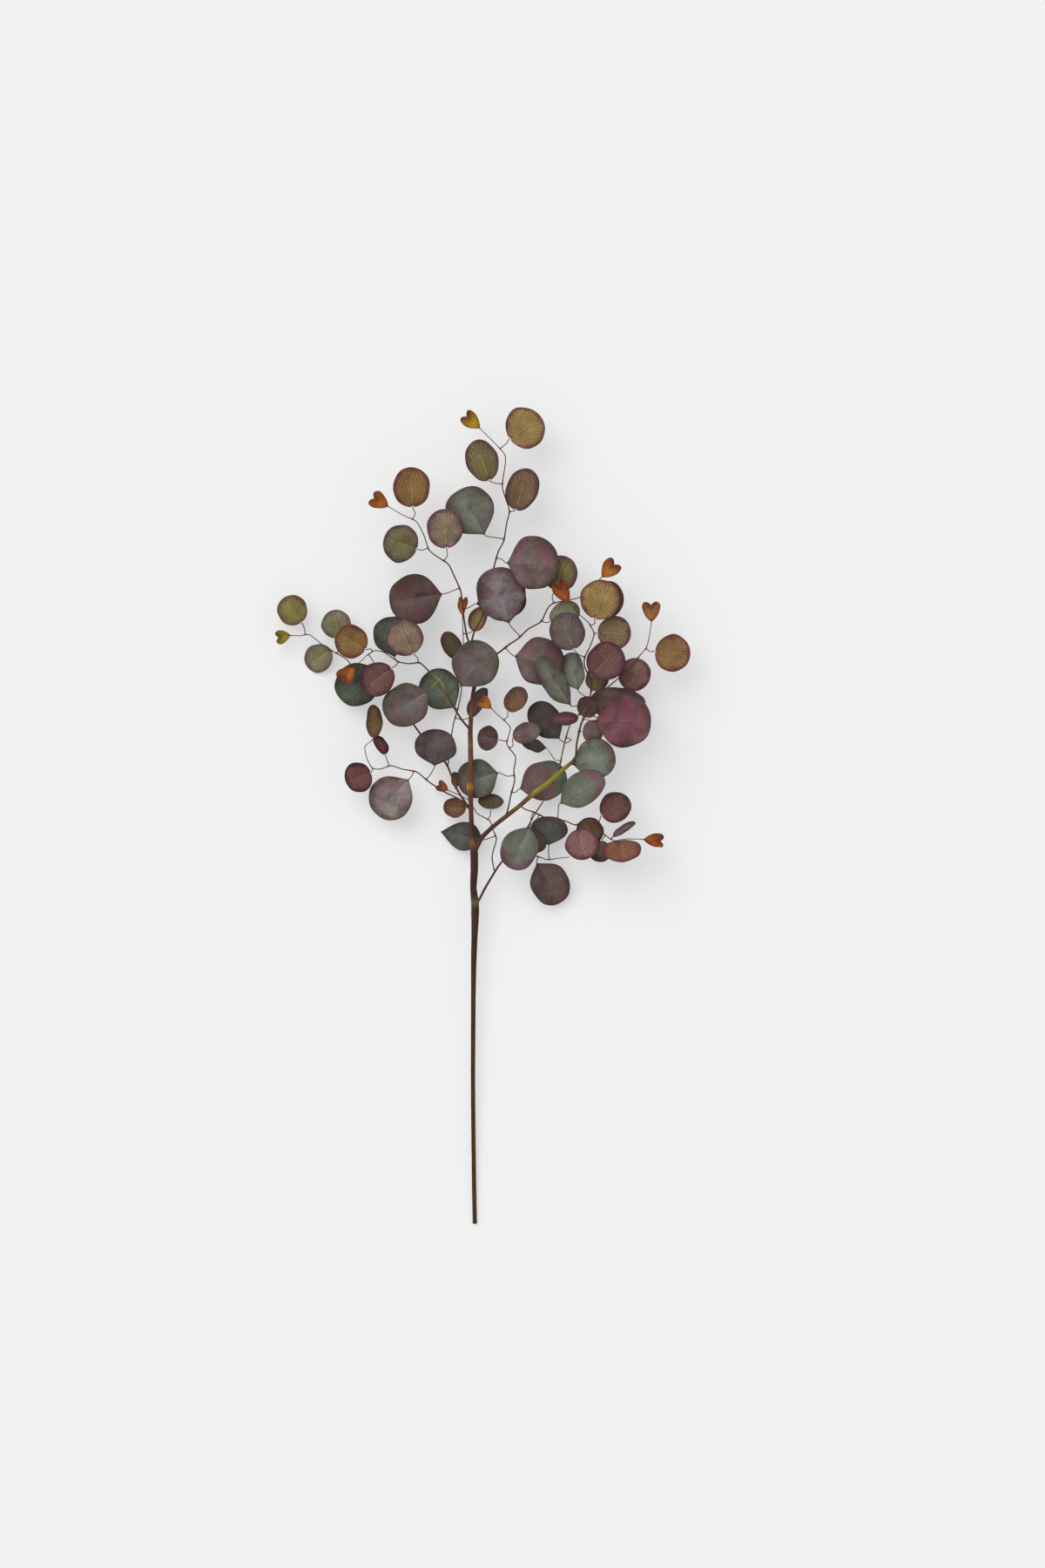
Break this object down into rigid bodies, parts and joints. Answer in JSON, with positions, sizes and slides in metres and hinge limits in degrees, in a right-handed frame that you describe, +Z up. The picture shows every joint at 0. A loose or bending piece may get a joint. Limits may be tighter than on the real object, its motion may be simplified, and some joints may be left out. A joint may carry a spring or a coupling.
{
  "type": "eucalyptus spray",
  "caption": "Cut spray of silver-dollar eucalyptus with a straight stem and a forked leafy crown, lying on a surface.",
  "frame": {"origin": "on the surface, under the middle of the spray's box", "axes": "+Y from the cut end to the crown, +X across the spray to the right, +Z up from the surface"},
  "size_m": [0.4771, 0.9384, 0.0834],
  "materials": {
    "stem_bark": "dry brown bark with paler patches, matte",
    "twig_bark": "thin red-brown to yellow-green bark, satin",
    "leaf": "waxy mauve, grey-green and olive leaf with fine net veins, satin"
  },
  "bodies": {
    "root": {"main_stem": "stem_bark", "right_branch": "twig_bark", "crown_spray": "leaf", "upper_right_spray": "leaf", "left_spray": "leaf", "low_left_spray": "leaf", "inner_right_spray": "leaf", "outer_right_spray": "leaf", "middle_spray": "leaf", "low_right_spray": "leaf", "lowest_spray": "leaf"}
  },
  "joints": []
}
